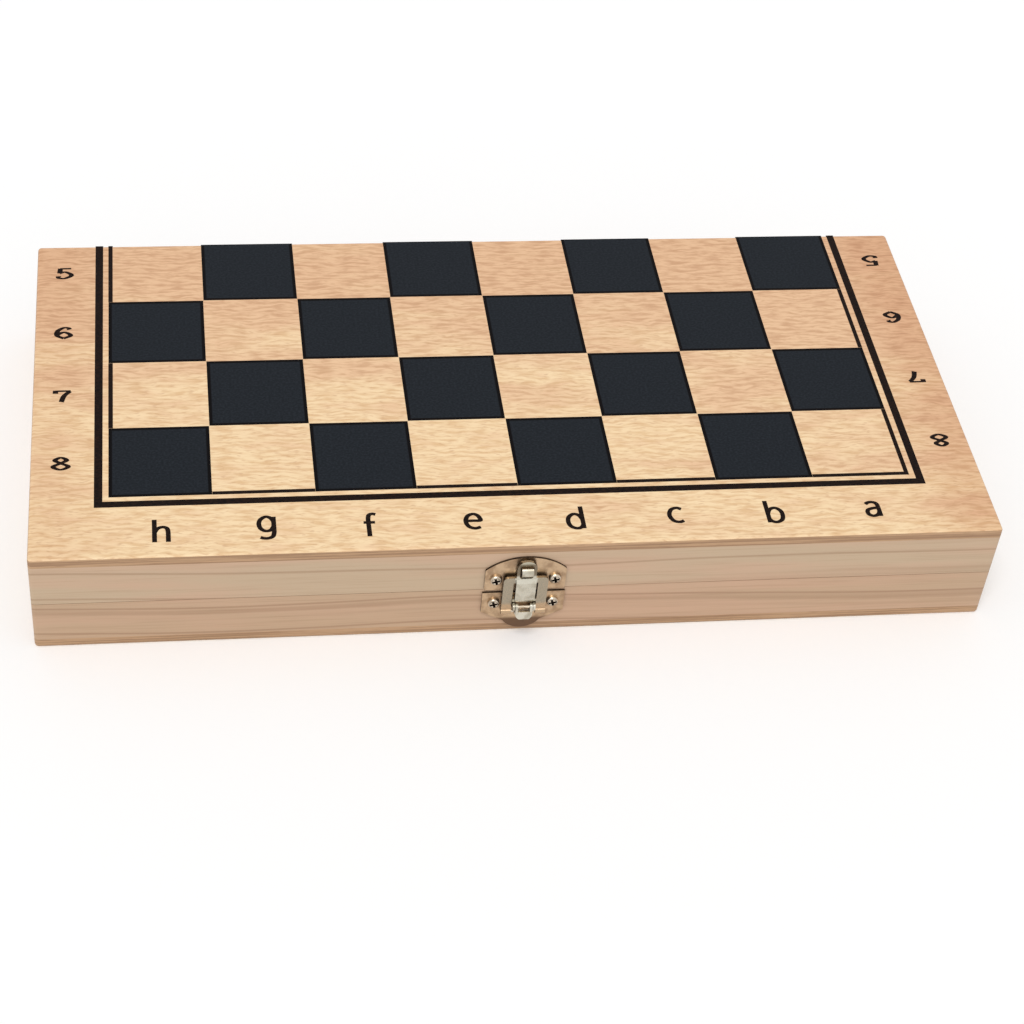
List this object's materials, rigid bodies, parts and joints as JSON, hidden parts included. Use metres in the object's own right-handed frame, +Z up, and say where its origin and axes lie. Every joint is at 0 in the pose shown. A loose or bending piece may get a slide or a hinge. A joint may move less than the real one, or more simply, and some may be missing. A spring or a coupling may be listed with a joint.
{
  "type": "folding chess set",
  "caption": "Wooden folding chess set: two hinged half-board boxes with printed outer faces, a small nickel toggle latch and turned chessmen stored inside.",
  "frame": {"origin": "centre of the lower face, on which the closed case rests", "axes": "+X to the right along the latch side, +Y from the latch to the hinges, +Z up"},
  "size_m": [0.29, 0.153, 0.0362],
  "materials": {
    "beech_print": "satin",
    "pine": "satin",
    "board_ink": "satin",
    "nickel": "polished",
    "light_lacquer": "gloss",
    "dark_lacquer": "gloss"
  },
  "bodies": {
    "lower_half": {"black_bishop_1": "dark_lacquer", "black_bishop_2": "dark_lacquer", "black_king": "dark_lacquer", "black_knight_1": "dark_lacquer", "black_knight_2": "dark_lacquer", "black_pawns": "dark_lacquer", "black_queen": "dark_lacquer", "black_rook_1": "dark_lacquer", "black_rook_2": "dark_lacquer", "hinge_pin_left": "nickel", "hinge_pin_right": "nickel", "latch_base_plate": "nickel", "latch_base_screws": "nickel", "latch_lever_pin": "nickel", "lower_back_rail": "pine", "lower_border_lines": "board_ink", "lower_dark_squares": "board_ink", "lower_front_rail": "pine", "lower_hinge_leaf_left": "nickel", "lower_hinge_leaf_right": "nickel", "lower_hinge_screws": "nickel", "lower_left_rail": "pine", "lower_panel": "beech_print", "lower_right_rail": "pine", "white_bishop_1": "light_lacquer", "white_bishop_2": "light_lacquer", "white_king": "light_lacquer", "white_knight_1": "light_lacquer", "white_knight_2": "light_lacquer", "white_pawns": "light_lacquer", "white_queen": "light_lacquer", "white_rook_1": "light_lacquer", "white_rook_2": "light_lacquer"},
    "upper_half": {"latch_catch_plate": "nickel", "latch_catch_screws": "nickel", "upper_back_rail": "pine", "upper_border_lines": "board_ink", "upper_dark_squares": "board_ink", "upper_front_rail": "pine", "upper_hinge_leaf_left": "nickel", "upper_hinge_leaf_right": "nickel", "upper_hinge_screws": "nickel", "upper_left_rail": "pine", "upper_panel": "beech_print", "upper_right_rail": "pine"},
    "latch_lever": {"latch_bail_pin": "nickel", "latch_lever": "nickel"},
    "latch_bail": {"latch_bail": "nickel"}
  },
  "joints": [
    {"name": "lid_hinge", "type": "hinge", "parent": "lower_half", "child": "upper_half", "pos_m": [0, 0.07345, 0.0181], "axis": [-1, 0, 0], "range_deg": [0, 180]},
    {"name": "latch_lever_hinge", "type": "hinge", "parent": "lower_half", "child": "latch_lever", "pos_m": [0, -0.07625, 0.0132], "axis": [-1, 0, 0], "range_deg": [0, 150]},
    {"name": "latch_bail_hinge", "type": "hinge", "parent": "latch_lever", "child": "latch_bail", "pos_m": [0, -0.07515, 0.0105], "axis": [1, 0, 0], "range_deg": [0, 180]}
  ],
  "couplings": [
    {"joint": "latch_bail_hinge", "follows": "latch_lever_hinge", "ratio": 1.2}
  ]
}
